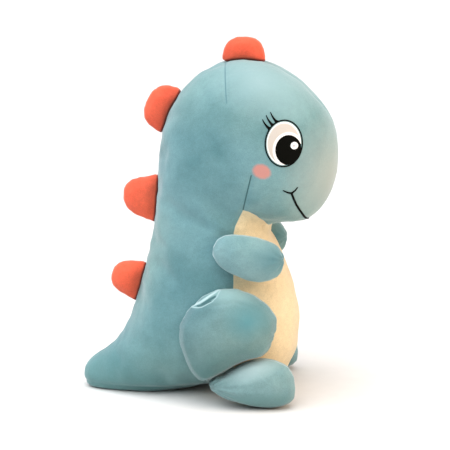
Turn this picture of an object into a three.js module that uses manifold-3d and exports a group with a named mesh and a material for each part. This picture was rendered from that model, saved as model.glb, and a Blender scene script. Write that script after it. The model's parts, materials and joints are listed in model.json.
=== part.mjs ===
// A sitting stuffed dinosaur: sewn fabric panels round fibre fill, with arms, legs and back spikes
// that flex at their seams. Millimetres, +Z up, the toy faces +X, and its right side is at -Y.
// The origin is on the resting plane, under the middle of the toy.
import * as THREE from "three";
import { LoftGeometry } from "three/addons/geometries/LoftGeometry.js";
import { mergeVertices } from "three/addons/utils/BufferGeometryUtils.js";
import Module from "manifold-3d";

const wasm = await Module();
wasm.setup();

// ---------------------------------------------------------------- driving dimensions

const FABRIC = 2.5; // thickness of the plush cloth, pile included
const GAP = 0.3; // between pieces that touch
const FILL_GAP = 0.6; // between a limb's cloth and its fill
const STITCH = 0.9; // thickness of the embroidery
const SEAM_CLEARANCE = 1; // between the body and a sewn-on piece that swings against it
const BIG = 1000; // reaches past everything
const CURVE_STEPS = 4; // straight pieces of an embroidered line between two of its points

// The body from tail tip to forehead. Each station is one oval section, given by the ends of its
// long axis on the back line and the front line, and by its half width.
const BODY = [
  { back: [-154, 20], front: [-154, 10], width: 6 },
  { back: [-147, 32], front: [-144, -4], width: 21 },
  { back: [-125, 48], front: [-117, -8], width: 35 },
  { back: [-105, 70], front: [-58, -5], width: 55 },
  { back: [-91, 106], front: [20, 9], width: 71 },
  { back: [-79, 148], front: [91, 19], width: 80 },
  { back: [-69, 190], front: [109, 92], width: 79 },
  { back: [-63, 240], front: [86, 170], width: 72 },
  { back: [-61, 276], front: [73, 203], width: 73 },
  { back: [-55, 318], front: [117, 207], width: 81 },
  { back: [-33, 362], front: [147, 244], width: 85 },
  { back: [11, 395], front: [154, 285], width: 78 },
  { back: [63, 397], front: [150, 316], width: 58 },
  { back: [99, 379], front: [138, 340], width: 30 },
  { back: [114, 368], front: [124, 355], width: 7 },
];
const BODY_RINGS = 28;
const BODY_COLUMNS = 16;

// The head rolls on a ball inside the neck. The chin overhangs the ball from CHIN_Z upwards. The
// clearance round the ball lets its facets turn past the facets of the socket.
const NECK = { x: 8, z: 243, radius: 88, clearance: 1.5 };
const BALL_SPOKES = 24;
const BALL_RINGS = 16;
const CHIN_Z = 203;
const NOD_CLEARANCE = 6; // degrees of nod that the chest is cut away for
const TILT_CLEARANCE = -8; // degrees of nod, backwards, that the arms are cut away for

const BELLY_SEAM_X = 33; // the belly panel is all of the chest in front of this plane
const BASE_SEAM_Z = 8; // height to which the base panel turns up

// Each limb is two panels of one outline, sewn together and stuffed. The outline runs
// counterclockwise as seen from the right, from its front end, in millimetres from the limb's root.
const ARM = {
  outline: [
    [90, -11], [83, 4], [63, 14], [38, 19], [14, 18], [3, 1], [10, -17], [31, -30], [57, -39], [83, -32],
  ],
  halfThickness: 21,
  root: [5, -89, 185],
  yaw: 10,
};
const THIGH = {
  outline: [
    [116, 16], [92, 41], [54, 51], [19, 34], [-1, 1], [6, -34],
    [24, -63], [49, -53], [76, -37], [103, -29], [113, -6],
  ],
  halfThickness: 33,
  root: [-30, -88, 92],
  yaw: 0,
};
const FOOT = {
  outline: [
    [105, -5], [98, 20], [68, 31], [41, 24], [18, 11], [0, 0], [12, -13], [34, -23], [62, -28],
    [90, -27], [103, -19],
  ],
  halfThickness: 29,
  root: [3, -88, 28.5],
  yaw: 0,
};

// Each spike stands on the back seam between two stations of the body, counted from the tail.
const SPIKES = [
  { name: "lower_back", from: 4.05, to: 5.13, height: 36 },
  { name: "upper_back", from: 6.3, to: 7.53, height: 40 },
  { name: "nape", from: 8.87, to: 9.98, height: 29 },
  { name: "crown", from: 11.13, to: 12.04, height: 26 },
];
const DOME_POINTS = [0.97, 0.78, 0.5, 0.22, 0.03]; // along the base, from its upper end
const BASE_POINTS = [0.04, 0.35, 0.65, 0.96];
const DOME_POWER = 2.6; // 2 is an oval dome, and more is squarer
const SPIKE_HALF_THICKNESS = 15;

// Embroidery, drawn as seen from the right: x forwards, z up.
const EYE = { x: 91, z: 309, halfWidth: 22, halfHeight: 27.5, line: 1.6 };
const PUPIL = { x: 96, z: 301.5, halfWidth: 15.5, halfHeight: 18.2 };
const HIGHLIGHT = { x: 102.6, z: 306.5, radius: 4.5 };
const LASH_ANGLES = [140, 127, 112]; // degrees, round the eye from its front
const LASH_DIRECTION = 132; // degrees above the forward direction
const LASH_LENGTH = 13;
const LASH_WIDTH = 3.4;
const MOUTH = {
  corner: [100, 250],
  smile: [[105, 237], [111, 224], [125, 204]],
  cheekMark: [[90, 254], [107, 257]],
  width: 2.6,
};

const TEAL = 0x7fa9ad;
const CREAM = 0xf0d9a8;
const CORAL = 0xf06a50;
const FIBRE = 0xf2f2ee;
const INK = 0x161616;
const WHITE = 0xf4ede2;

// ---------------------------------------------------------------- solids

// A closed three.js geometry as a solid that can be joined and cut.
function solidOf(geometry) {
  const merged = bare(geometry);
  return new wasm.Manifold(
    new wasm.Mesh({
      numProp: 3,
      vertProperties: new Float32Array(merged.attributes.position.array),
      triVerts: new Uint32Array(merged.index.array),
    }),
  );
}

// The geometry with nothing but positions, and with one vertex at each point.
function bare(geometry) {
  const copy = new THREE.BufferGeometry().copy(geometry);
  copy.deleteAttribute("normal");
  copy.deleteAttribute("uv");
  return mergeVertices(copy, 1e-3);
}

// A solid's surface as a three.js geometry.
function geometryOf(solid) {
  const surface = solid.getMesh();
  const geometry = new THREE.BufferGeometry();
  geometry.setAttribute("position", new THREE.BufferAttribute(surface.vertProperties, 3));
  geometry.setIndex(new THREE.BufferAttribute(surface.triVerts, 1));
  geometry.computeVertexNormals();
  return geometry;
}

// The solid inside a geometry whose surface is moved along its normals, outwards if positive.
function grown(geometry, distance) {
  const moved = bare(geometry);
  moved.computeVertexNormals();
  const { position, normal } = moved.attributes;
  const point = new THREE.Vector3();
  const direction = new THREE.Vector3();
  for (let i = 0; i < position.count; i++) {
    point.fromBufferAttribute(position, i);
    direction.fromBufferAttribute(normal, i);
    point.addScaledVector(direction, distance);
    position.setXYZ(i, point.x, point.y, point.z);
  }
  return solidOf(moved);
}

// A block between two corners.
function block(low, high) {
  const size = high.map((value, axis) => value - low[axis]);
  const box = new THREE.BoxGeometry(...size);
  box.translate(...low.map((value, axis) => value + size[axis] / 2));
  return solidOf(box);
}

const above = (z) => block([-BIG, -BIG, z], [BIG, BIG, BIG]);
const inFrontOf = (x) => block([x, -BIG, -BIG], [BIG, BIG, BIG]);
const behind = (x) => block([-BIG, -BIG, -BIG], [x, BIG, BIG]);
const rightOf = (y) => block([-BIG, -BIG, -BIG], [BIG, y, BIG]);
const leftOf = (y) => block([-BIG, y, -BIG], [BIG, BIG, BIG]);

function ball(radius) {
  const sphere = new THREE.SphereGeometry(radius, BALL_SPOKES, BALL_RINGS);
  sphere.translate(NECK.x, 0, NECK.z);
  return solidOf(sphere);
}

// A side-view shape made into a solid from y = low to y = high.
function sidePrism(shape, low, high) {
  const depth = high - low;
  const prism = new THREE.ExtrudeGeometry(shape, { depth, bevelEnabled: false, curveSegments: 10 });
  prism.rotateX(Math.PI / 2);
  prism.translate(0, high, 0);
  return solidOf(prism);
}

// ---------------------------------------------------------------- soft shapes

const bodyCurve = (pick) => new THREE.CatmullRomCurve3(BODY.map(pick));
const backLine = bodyCurve(({ back }) => new THREE.Vector3(back[0], 0, back[1]));
const frontLine = bodyCurve(({ front }) => new THREE.Vector3(front[0], 0, front[1]));
const widths = bodyCurve(({ width }, i) => new THREE.Vector3(i, width, 0));

// The sewn body from tail tip to forehead, as a loft of oval sections.
function bodyShape() {
  const rings = [];
  for (let i = 0; i <= BODY_RINGS; i++) {
    const t = i / BODY_RINGS;
    rings.push(ovalRing(backLine.getPoint(t), frontLine.getPoint(t), widths.getPoint(t).y));
  }
  return new LoftGeometry(rings, { capStart: true, capEnd: true });
}

function ovalRing(back, front, halfWidth) {
  const middle = back.clone().add(front).divideScalar(2);
  const reach = front.clone().sub(middle);
  const ring = [];
  for (let k = 0; k < BODY_COLUMNS; k++) {
    const angle = (2 * Math.PI * k) / BODY_COLUMNS;
    const point = middle.clone().addScaledVector(reach, Math.cos(angle));
    point.y = halfWidth * Math.sin(angle);
    ring.push(point);
  }
  return ring;
}

// Two flat panels of one outline, sewn together and stuffed. The seam lies in the plane y = 0.
function pillow(points, halfThickness, segments = 20, rings = 6) {
  const outline = new THREE.CatmullRomCurve3(points.map(([x, z]) => new THREE.Vector3(x, 0, z)), true);
  const centre = new THREE.Box3().setFromPoints(outline.getPoints(60)).getCenter(new THREE.Vector3());
  const geometry = new THREE.SphereGeometry(1, segments, rings);
  const { position } = geometry.attributes;
  for (let i = 0; i < position.count; i++) {
    const [x, y, z] = [position.getX(i), position.getY(i), position.getZ(i)];
    const turn = (Math.atan2(z, x) / (2 * Math.PI) + 1) % 1;
    const point = outline.getPoint(turn).sub(centre).multiplyScalar(Math.hypot(x, z)).add(centre);
    position.setXYZ(i, point.x, y * halfThickness, point.z);
  }
  return geometry;
}

// ---------------------------------------------------------------- body, head and neck

const bodySkin = bodyShape();
const bodyGrown = new Map();

// The body with its surface moved outwards, made once for each distance.
function body(distance) {
  if (!bodyGrown.has(distance)) bodyGrown.set(distance, grown(bodySkin, distance));
  return bodyGrown.get(distance);
}

// The shell of the body and the room inside it, standing on the resting plane.
const sewnBody = body(0).intersect(above(0));
const bodyShell = sewnBody.subtract(body(-FABRIC).intersect(above(FABRIC)));
const bodyFill = body(-FABRIC - GAP).intersect(above(FABRIC + GAP));

const headRegion = ball(NECK.radius).add(above(CHIN_Z));
const socket = ball(NECK.radius + NECK.clearance);
const chin = sewnBody.intersect(above(CHIN_Z));
const torsoCut = socket.add(above(CHIN_Z - GAP)).add(nodded(chin, NOD_CLEARANCE));

const headOf = (solid) => solid.intersect(headRegion);
const torsoOf = (solid) => solid.subtract(torsoCut);

// A solid turned about the middle of the neck's ball, forwards if the angle is positive.
function nodded(solid, degrees) {
  return solid
    .translate([-NECK.x, 0, -NECK.z])
    .rotate([0, degrees, 0])
    .translate([NECK.x, 0, NECK.z]);
}

// ---------------------------------------------------------------- the scene

const dinosaur = new THREE.Group();

// A named mesh in the group, in its own material.
function add(name, solid, colour, roughness = 0.95) {
  const material = new THREE.MeshStandardMaterial({ color: colour, roughness, metalness: 0 });
  const mesh = new THREE.Mesh(geometryOf(solid), material);
  mesh.name = name;
  dinosaur.add(mesh);
}

// The same piece on the toy's right and, mirrored, on its left.
function addPair(name, solid, colour, roughness) {
  add(name + "_right", solid, colour, roughness);
  add(name + "_left", solid.mirror([0, 1, 0]), colour, roughness);
}

// A piece that spans the middle of the toy, its left half mirrored from its right.
function addMiddle(name, solid, colour, roughness) {
  const right = solid.intersect(rightOf(0));
  add(name, right.add(right.mirror([0, 1, 0])), colour, roughness);
}

function addHead() {
  addPair("head_panel", headOf(bodyShell).intersect(rightOf(-GAP / 2)), TEAL);
  addMiddle("head_fill", headOf(bodyFill), FIBRE);
}

function addTorso() {
  const shell = torsoOf(bodyShell);
  const sides = shell.intersect(above(BASE_SEAM_Z + GAP));
  addPair("torso_panel", sides.intersect(behind(BELLY_SEAM_X)).intersect(rightOf(-GAP / 2)), TEAL);
  addMiddle("belly_panel", sides.intersect(inFrontOf(BELLY_SEAM_X + GAP)), CREAM);
  addMiddle("base_panel", shell.subtract(above(BASE_SEAM_Z)), TEAL);
  addMiddle("torso_fill", torsoOf(bodyFill), FIBRE);
}

// ---------------------------------------------------------------- limbs

// A limb's outer and inner panels and its fill. Each is cut away where the body is.
function addLimb(name, limb, obstacle = null) {
  const skin = pillow(limb.outline, limb.halfThickness);
  const placed = (solid) => solid.rotate([0, 0, limb.yaw]).translate(limb.root);
  const volume = (inset) => {
    const solid = placed(grown(skin, -inset)).subtract(body(SEAM_CLEARANCE + inset));
    const cleared = solid.intersect(above(inset));
    return obstacle ? cleared.subtract(obstacle(inset)) : cleared;
  };
  const shell = volume(0).subtract(volume(FABRIC));
  addPair(name + "_outer_panel", shell.intersect(placed(rightOf(-GAP / 2))), TEAL);
  addPair(name + "_inner_panel", shell.intersect(placed(leftOf(GAP / 2))), TEAL);
  addPair(name + "_fill", volume(FABRIC + FILL_GAP), FIBRE);
}

// The room that the tilted head takes above the arm, with its surface moved outwards.
function headRoom(inset) {
  const head = body(SEAM_CLEARANCE + inset).intersect(socket.add(above(CHIN_Z)));
  return nodded(head, TILT_CLEARANCE);
}

// The room that the foot takes below the thigh, with its surface moved outwards.
function footRoom(inset) {
  return grown(pillow(FOOT.outline, FOOT.halfThickness), SEAM_CLEARANCE + inset).translate(FOOT.root);
}

// ---------------------------------------------------------------- spikes

// The point at a height above the back line, a fraction of the way from one station to another.
function aboveBack(from, to, fraction, height) {
  const t = THREE.MathUtils.lerp(from, to, fraction) / (BODY.length - 1);
  const point = backLine.getPoint(t);
  const tangent = backLine.getTangent(t);
  return [point.x - tangent.z * height, point.z + tangent.x * height];
}

// How high a dome stands, from 0 to 1, at a fraction of the way along its base.
const domeRise = (u) => Math.pow(1 - Math.pow(Math.abs(2 * u - 1), DOME_POWER), 1 / DOME_POWER);

// A domed outline whose base follows the back.
function spikeOutline({ from, to, height }) {
  const dome = DOME_POINTS.map((u) => aboveBack(from, to, u, SEAM_CLEARANCE + height * domeRise(u)));
  const base = BASE_POINTS.map((u) => aboveBack(from, to, u, SEAM_CLEARANCE));
  return [...dome, ...base];
}

function addSpike(spike) {
  const skin = pillow(spikeOutline(spike), SPIKE_HALF_THICKNESS, 14);
  const volume = (inset) => grown(skin, -inset).subtract(body(SEAM_CLEARANCE + inset));
  const shell = volume(0).subtract(volume(FABRIC));
  addPair(spike.name + "_spike_panel", shell.intersect(rightOf(-GAP / 2)), CORAL);
  addMiddle(spike.name + "_spike_fill", volume(FABRIC + FILL_GAP), FIBRE);
}

// ---------------------------------------------------------------- embroidery

const stitchLayer = body(GAP + STITCH).subtract(body(GAP));

function oval({ x, z, halfWidth, halfHeight }, inset = 0) {
  const shape = new THREE.Shape();
  shape.absellipse(x, z, halfWidth - inset, halfHeight - inset, 0, 2 * Math.PI, false, 0);
  return shape;
}

const stitched = (shape) => stitchLayer.intersect(sidePrism(shape, -BIG, 0));

// A lash is a narrow wedge that stands on the eye's outline and leans back.
function lash(degrees) {
  const angle = THREE.MathUtils.degToRad(degrees);
  const foot = new THREE.Vector2(
    EYE.x + (EYE.halfWidth - EYE.line / 2) * Math.cos(angle),
    EYE.z + (EYE.halfHeight - EYE.line / 2) * Math.sin(angle),
  );
  const direction = THREE.MathUtils.degToRad(LASH_DIRECTION);
  const outwards = new THREE.Vector2(Math.cos(direction), Math.sin(direction));
  const across = new THREE.Vector2(-outwards.y, outwards.x).multiplyScalar(LASH_WIDTH / 2);
  const tip = foot.clone().addScaledVector(outwards, LASH_LENGTH);
  return new THREE.Shape([foot.clone().sub(across), tip, foot.clone().add(across)]);
}

function addEyes() {
  const eye = stitched(oval(EYE));
  const inside = sidePrism(oval(EYE, EYE.line), -BIG, BIG);
  const lashes = LASH_ANGLES.map((angle) => stitched(lash(angle)));
  const outline = lashes.reduce((joined, next) => joined.add(next), eye).subtract(inside);
  const pupil = sidePrism(oval(PUPIL), -BIG, 0);
  const highlight = { ...HIGHLIGHT, halfWidth: HIGHLIGHT.radius, halfHeight: HIGHLIGHT.radius };
  const white = stitched(oval(EYE, EYE.line + GAP));
  addPair("eye_outline", outline, INK, 0.6);
  addPair("eye_white", white.subtract(sidePrism(oval(PUPIL, -GAP), -BIG, 0)), WHITE, 0.7);
  addPair("pupil", white.intersect(pupil).subtract(sidePrism(oval(highlight, -GAP), -BIG, 0)), INK, 0.5);
  addPair("eye_highlight", stitched(oval(highlight)), WHITE, 0.6);
}

// A stroke of even width along a line of side-view points.
function stroke(points, width) {
  const line = new THREE.SplineCurve(points.map(([x, z]) => new THREE.Vector2(x, z)));
  const steps = CURVE_STEPS * (points.length - 1);
  const edge = (side) =>
    line.getPoints(steps).map((point, i) => {
      const tangent = line.getTangent(i / steps);
      return point.clone().add(new THREE.Vector2(-tangent.y, tangent.x).multiplyScalar((side * width) / 2));
    });
  return new THREE.Shape([...edge(-1), ...edge(1).reverse()]);
}

function addMouth() {
  const { corner, smile, cheekMark, width } = MOUTH;
  const marks = cheekMark.map((end) => stroke([end, corner], width));
  const strokes = [stroke([corner, ...smile], width), ...marks];
  const prisms = strokes.map((shape) => sidePrism(shape, -BIG, BIG));
  const mouth = prisms.reduce((joined, next) => joined.add(next));
  addMiddle("mouth", stitchLayer.intersect(mouth), INK, 0.6);
}

// ---------------------------------------------------------------- assembly

addHead();
addTorso();
addLimb("arm", ARM, headRoom);
addLimb("thigh", THIGH, footRoom);
addLimb("foot", FOOT);
SPIKES.forEach(addSpike);
addEyes();
addMouth();

export default dinosaur;
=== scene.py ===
"""The looks of the sitting stuffed dinosaur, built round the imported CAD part. Metres, +Z up, facing +X."""

import math

import bmesh
import bpy
import numpy as np
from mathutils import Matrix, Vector
from mathutils.bvhtree import BVHTree
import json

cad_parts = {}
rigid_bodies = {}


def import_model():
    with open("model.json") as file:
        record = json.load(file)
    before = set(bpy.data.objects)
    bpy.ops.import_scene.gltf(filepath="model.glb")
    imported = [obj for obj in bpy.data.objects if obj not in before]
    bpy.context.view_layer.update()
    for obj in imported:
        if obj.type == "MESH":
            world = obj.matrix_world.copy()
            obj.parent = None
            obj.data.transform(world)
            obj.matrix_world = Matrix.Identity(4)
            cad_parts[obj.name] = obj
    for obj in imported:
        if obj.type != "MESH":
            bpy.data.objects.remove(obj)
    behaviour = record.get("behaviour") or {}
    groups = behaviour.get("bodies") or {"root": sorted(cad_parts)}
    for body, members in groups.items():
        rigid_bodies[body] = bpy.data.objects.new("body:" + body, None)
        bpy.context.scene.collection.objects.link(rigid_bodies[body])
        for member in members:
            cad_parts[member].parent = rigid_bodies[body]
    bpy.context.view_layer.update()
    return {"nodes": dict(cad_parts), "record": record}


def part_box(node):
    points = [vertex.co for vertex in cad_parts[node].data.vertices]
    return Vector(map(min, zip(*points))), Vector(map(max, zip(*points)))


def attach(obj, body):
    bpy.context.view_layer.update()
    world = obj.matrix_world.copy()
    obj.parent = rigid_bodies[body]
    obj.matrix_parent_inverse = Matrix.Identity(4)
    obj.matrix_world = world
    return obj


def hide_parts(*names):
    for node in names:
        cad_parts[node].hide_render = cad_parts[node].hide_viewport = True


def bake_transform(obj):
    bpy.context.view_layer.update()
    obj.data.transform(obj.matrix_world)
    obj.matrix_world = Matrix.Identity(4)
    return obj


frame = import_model()

MM = 0.001
# Cloth this near to a seam is held while the rest is blown up.
BODY_HELD, LIMB_HELD, SPIKE_HELD = 3.5 * MM, 2 * MM, 1.5 * MM
SIDES = {"right": -1, "left": 1}
SPIKES = {"lower_back": "torso", "upper_back": "head", "nape": "head", "crown": "head"}
HINGES = {joint["name"]: Vector(joint["pos_m"]) for joint in frame["record"]["behaviour"]["joints"]}
AXES = {joint["name"]: Vector(joint["axis"]) for joint in frame["record"]["behaviour"]["joints"]}

# -------------------------------- places, from the frame

BELLY_SEAM_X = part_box("belly_panel")[0].x
BASE_SEAM_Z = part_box("base_panel")[1].z
PUPIL_RADIUS = 15.5 * MM  # from back to front; the rim of the white cuts part of it off

# -------------------------------- mesh tools


def rows(items, attribute, width, kind=float):
    """An attribute of the items of a mesh as an array, with width numbers to a row."""
    found = np.empty(len(items) * width, kind)
    items.foreach_get(attribute, found)
    return found.reshape(-1, width)


def coordinates(piece):
    """The piece's vertices as an array."""
    return rows(piece.data.vertices, "co", 3)


def set_coordinates(piece, co):
    """Moves the piece's vertices to these places."""
    piece.data.vertices.foreach_set("co", np.ascontiguousarray(co, np.float32).ravel())
    piece.data.update()


def normals(piece):
    """The piece's outward vertex normals as an array."""
    return rows(piece.data.vertex_normals, "vector", 3)


def edges(piece):
    """The pairs of vertices that edges join, as an array."""
    return rows(piece.data.edges, "vertices", 2, int)


def placed(name, data):
    """A new object that holds the mesh, camera or light."""
    thing = bpy.data.objects.new(name, data)
    bpy.context.scene.collection.objects.link(thing)
    return thing


def new_piece(name, vertices, faces):
    """A smooth-shaded mesh object."""
    mesh = bpy.data.meshes.new(name)
    mesh.from_pydata([tuple(v) for v in vertices], [], faces)
    mesh.shade_smooth()
    return placed(name, mesh)


def add_layer(piece, name, values):
    """Stores two numbers for each vertex as a coordinate layer of the mesh."""
    corners = rows(piece.data.loops, "vertex_index", 1, int)[:, 0]
    layer = piece.data.uv_layers.new(name=name)
    layer.data.foreach_set("uv", np.asarray(values, np.float32)[corners].ravel())


def add_seam_layer(piece, distance, height=None):
    """Stores each point's distance from its seam and height above the cloth below it, in millimetres."""
    height = np.full(len(distance), 1.0) if height is None else height
    add_layer(piece, "seams", np.column_stack([distance, height]) / MM)


def baked(piece):
    """The piece with its modifiers applied."""
    graph = bpy.context.evaluated_depsgraph_get()
    mesh = bpy.data.meshes.new_from_object(piece.evaluated_get(graph))
    piece.modifiers.clear()
    piece.data = mesh
    mesh.shade_smooth()
    return piece


# One round of smoothing is a step towards the neighbours and a slightly longer one back.
STEP_IN, STEP_BACK = 0.5, -0.52


def smoothed(co, links, rounds):
    """Points evened out over their links, without shrinking the form."""
    count = np.bincount(links.ravel(), minlength=len(co))[:, None]
    for step in range(2 * rounds):
        total = np.zeros_like(co)
        for axis in range(3):
            total[:, axis] += np.bincount(links[:, 0], co[links[:, 1], axis], len(co))
            total[:, axis] += np.bincount(links[:, 1], co[links[:, 0], axis], len(co))
        factor = STEP_IN if step % 2 == 0 else STEP_BACK
        co = co + factor * (total / count - co)
    return co


def soft_copy(name, nodes, voxel, rounds):
    """One closed, evenly meshed, rounded skin around the CAD nodes."""
    joined = bmesh.new()
    for node in nodes:
        joined.from_mesh(frame["nodes"][node].data)
    mesh = bpy.data.meshes.new(name)
    joined.to_mesh(mesh)
    joined.free()
    piece = placed(name, mesh)
    remesh = piece.modifiers.new("Remesh", "REMESH")
    remesh.mode = "VOXEL"
    remesh.voxel_size = voxel
    baked(piece)
    largest_island(piece)
    set_coordinates(piece, smoothed(coordinates(piece), edges(piece), rounds))
    return piece


def largest_island(piece):
    """Leaves only the outermost of the piece's separate surfaces."""
    work = bmesh.new()
    work.from_mesh(piece.data)
    work.verts.ensure_lookup_table()
    unseen = set(range(len(work.verts)))
    islands = []
    while unseen:
        island, front = set(), [unseen.pop()]
        while front:
            index = front.pop()
            island.add(index)
            for edge in work.verts[index].link_edges:
                other = edge.other_vert(work.verts[index]).index
                if other in unseen:
                    unseen.discard(other)
                    front.append(other)
        islands.append(island)
    kept = max(islands, key=len)
    spare = [v for v in work.verts if v.index not in kept]
    bmesh.ops.delete(work, geom=spare, context="VERTS")
    work.to_mesh(piece.data)
    work.free()


def subdivided(piece):
    """The piece with each face split in four and rounded."""
    modifier = piece.modifiers.new("Subdivision", "SUBSURF")
    modifier.levels = modifier.render_levels = 1
    return baked(piece)


FILL_PRESSURE = 4.0
CLOTH_BENDING = 0.4
CLOTH_FRAMES = 20


def inflated(piece, pinned, cap, growth=0.0):
    """The piece blown up by a cloth simulation, with its seams held and no point moved beyond cap."""
    start = coordinates(piece)
    seams = piece.vertex_groups.new(name="seams")
    seams.add([int(i) for i in np.flatnonzero(pinned)], 1.0, "REPLACE")
    cloth = piece.modifiers.new("Cloth", "CLOTH")
    settings = cloth.settings
    settings.vertex_group_mass = "seams"
    settings.use_pressure = True
    settings.uniform_pressure_force = FILL_PRESSURE
    settings.shrink_min = -growth
    settings.bending_stiffness = CLOTH_BENDING
    settings.effector_weights.gravity = 0
    cloth.collision_settings.use_collision = False
    cloth.point_cache.frame_end = CLOTH_FRAMES
    scene = bpy.context.scene
    for step in range(1, CLOTH_FRAMES + 1):
        scene.frame_set(step)
    baked(piece)
    scene.frame_set(1)
    piece.vertex_groups.clear()
    move = coordinates(piece) - start
    length = np.linalg.norm(move, axis=1)[:, None]
    set_coordinates(piece, start + move * np.minimum(1, cap / np.maximum(length, 1e-9)))
    return piece


def tree_of(piece):
    """A search tree over the piece's faces."""
    work = bmesh.new()
    work.from_mesh(piece.data)
    tree = BVHTree.FromBMesh(work)
    work.free()
    return tree


SEARCH_REACH = 50 * MM  # how far a point looks for its neighbour's surface
PRESS_REACH = 45 * MM  # how deep a sunken point can lie and still be pressed out


def kept_outside(piece, tree, clearance):
    """Presses the piece flat against the surface in the tree wherever it would sink into it."""
    co = coordinates(piece)
    for i, point in enumerate(co):
        place, normal, _, distance = tree.find_nearest(Vector(point), SEARCH_REACH)
        if place is None:
            continue
        depth = (Vector(point) - place).dot(normal)
        if depth < clearance and distance < PRESS_REACH:
            co[i] = place + normal * clearance
    set_coordinates(piece, co)


# -------------------------------- sewing


def groove(distance, depth, width):
    """How far a seam draws the cloth in at a distance from it: sharp at the stitches, soft beyond."""
    return depth * np.exp(-np.abs(distance) / width)


def segment_distance(points, a, b):
    """Distance of side-view points from the segment a-b, and how far along it the nearest point is."""
    a, b = np.array(a), np.array(b)
    along = np.clip(((points - a) @ (b - a)) / ((b - a) @ (b - a)), 0, 1)
    return np.linalg.norm(points - (a + along[:, None] * (b - a)), axis=1), along


CREASE_RUN_OUT = 0.12  # share of a crease's half wave that is cut off at each end


def crease(co, a, b, depth, width):
    """Depth of a fold or dart on both sides of the toy, from a to b in millimetres as seen from the side."""
    distance, along = segment_distance(co[:, [0, 2]] / MM, a, b)
    fade = np.sin(np.pi * (CREASE_RUN_OUT + (1 - 2 * CREASE_RUN_OUT) * along))
    return depth * MM * np.exp(-((distance / width) ** 2)) * fade


# A second, lower and longer wave that makes the gathers of a seam uneven.
UNEVEN_SHARE, UNEVEN_STRETCH, UNEVEN_START = 0.5, 1.7, 1.3


def puckers(along, distance, pitch, depth, reach):
    """Small gathers across a seam, strongest at the stitches."""
    turns = 2 * np.pi * along / pitch
    wave = np.sin(turns) + UNEVEN_SHARE * np.sin(turns / UNEVEN_STRETCH + UNEVEN_START)
    return depth * wave * np.exp(-((distance / reach) ** 2))


# -------------------------------- materials


class Graph:
    """A material's node tree, with short calls for the nodes used here."""

    def __init__(self, name):
        self.material = bpy.data.materials.new(name)
        self.material.use_nodes = True
        self.nodes = self.material.node_tree.nodes
        self.links = self.material.node_tree.links
        self.shader = self.nodes["Principled BSDF"]

    def link(self, source, target):
        self.links.new(source, target)

    def surface(self, settings):
        """Sets the shader's named numbers and colours."""
        for name, value in settings.items():
            self.shader.inputs[name].default_value = value

    def place(self):
        """A point's own place in the piece, in metres."""
        return self.nodes.new("ShaderNodeTexCoord").outputs["Object"]

    def layer(self, name):
        """The numbers that add_layer stored under this name."""
        node = self.nodes.new("ShaderNodeUVMap")
        node.uv_map = name
        return node.outputs["UV"]

    def parts(self, vector):
        """The vector's three numbers, one by one."""
        node = self.nodes.new("ShaderNodeSeparateXYZ")
        self.link(vector, node.inputs["Vector"])
        return node.outputs["X"], node.outputs["Y"], node.outputs["Z"]

    def noise(self, scale, detail=2.0, roughness=0.5):
        node = self.nodes.new("ShaderNodeTexNoise")
        node.inputs["Scale"].default_value = scale
        node.inputs["Detail"].default_value = detail
        node.inputs["Roughness"].default_value = roughness
        self.link(self.place(), node.inputs["Vector"])
        return node.outputs["Fac"]

    def ramp(self, source, band, colours):
        """Goes from the first colour to the second while the source crosses the band."""
        node = self.nodes.new("ShaderNodeValToRGB")
        for element, position, colour in zip(node.color_ramp.elements, band, colours):
            element.position = position
            element.color = (*colour, 1)
        self.link(source, node.inputs["Fac"])
        return node.outputs["Color"]

    def ramp_mm(self, distance, band, colours):
        """A ramp over a distance in millimetres, with its band below 10."""
        tenths = [millimetres / 10 for millimetres in band]
        return self.ramp(self.maths("MULTIPLY", distance, 0.1), tenths, colours)

    def mix(self, factor, a, b, blend="MIX"):
        node = self.nodes.new("ShaderNodeMix")
        node.data_type = "RGBA"
        node.blend_type = blend
        for socket, value in zip((node.inputs[name] for name in ("Factor", "A", "B")), (factor, a, b)):
            if isinstance(value, (int, float)):
                socket.default_value = value
            elif isinstance(value, tuple):
                socket.default_value = (*value, 1)
            else:
                self.link(value, socket)
        return next(o for o in node.outputs if o.type == "RGBA")

    def maths(self, operation, *values):
        node = self.nodes.new("ShaderNodeMath")
        node.operation = operation
        for socket, value in zip(node.inputs, values):
            if isinstance(value, (int, float)):
                socket.default_value = value
            else:
                self.link(value, socket)
        return node.outputs["Value"]

    def bump(self, height, strength, distance, below=None):
        node = self.nodes.new("ShaderNodeBump")
        node.inputs["Strength"].default_value = strength
        node.inputs["Distance"].default_value = distance
        self.link(height, node.inputs["Height"])
        if below is not None:
            self.link(below, node.inputs["Normal"])
        return node.outputs["Normal"]


def grey(value):
    return (value, value, value)


FADE = (grey(1), grey(0))  # of a mask: whole, then gone

# Noise in the plush, in features to the metre.
NAP_SCALE, CAST_SCALE, MOTTLE_SCALE, PILE_SCALE, TUFT_SCALE = 9, 5, 150, 160, 900
NAP_BAND, CAST_BAND, SPECKLE_BAND = (0.34, 0.66), (0.36, 0.64), (0.36, 0.64)
COOL_CAST, WARM_CAST = (0.86, 0.96, 1.0), (1.0, 0.98, 0.90)
TUFT_SHADE, MOTTLE_SHADE = 0.84, 0.90
PILE_BUMP = {"strength": 0.35, "distance": 0.8 * MM}
TUFT_BUMP = {"strength": 0.45, "distance": 0.5 * MM}
PLUSH_SURFACE = {
    "Roughness": 0.9,
    "Specular IOR Level": 0.25,
    "Sheen Weight": 0.45,
    "Sheen Roughness": 0.45,
}
SEAM_HIGHLIGHT = 0.12  # how far the painted highlight along a seam goes towards the sheen's tint
HIGHLIGHT_FADE_MM = (0.8, 2.4)  # distances from the seam at which that painted highlight starts to fade and is gone


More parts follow.
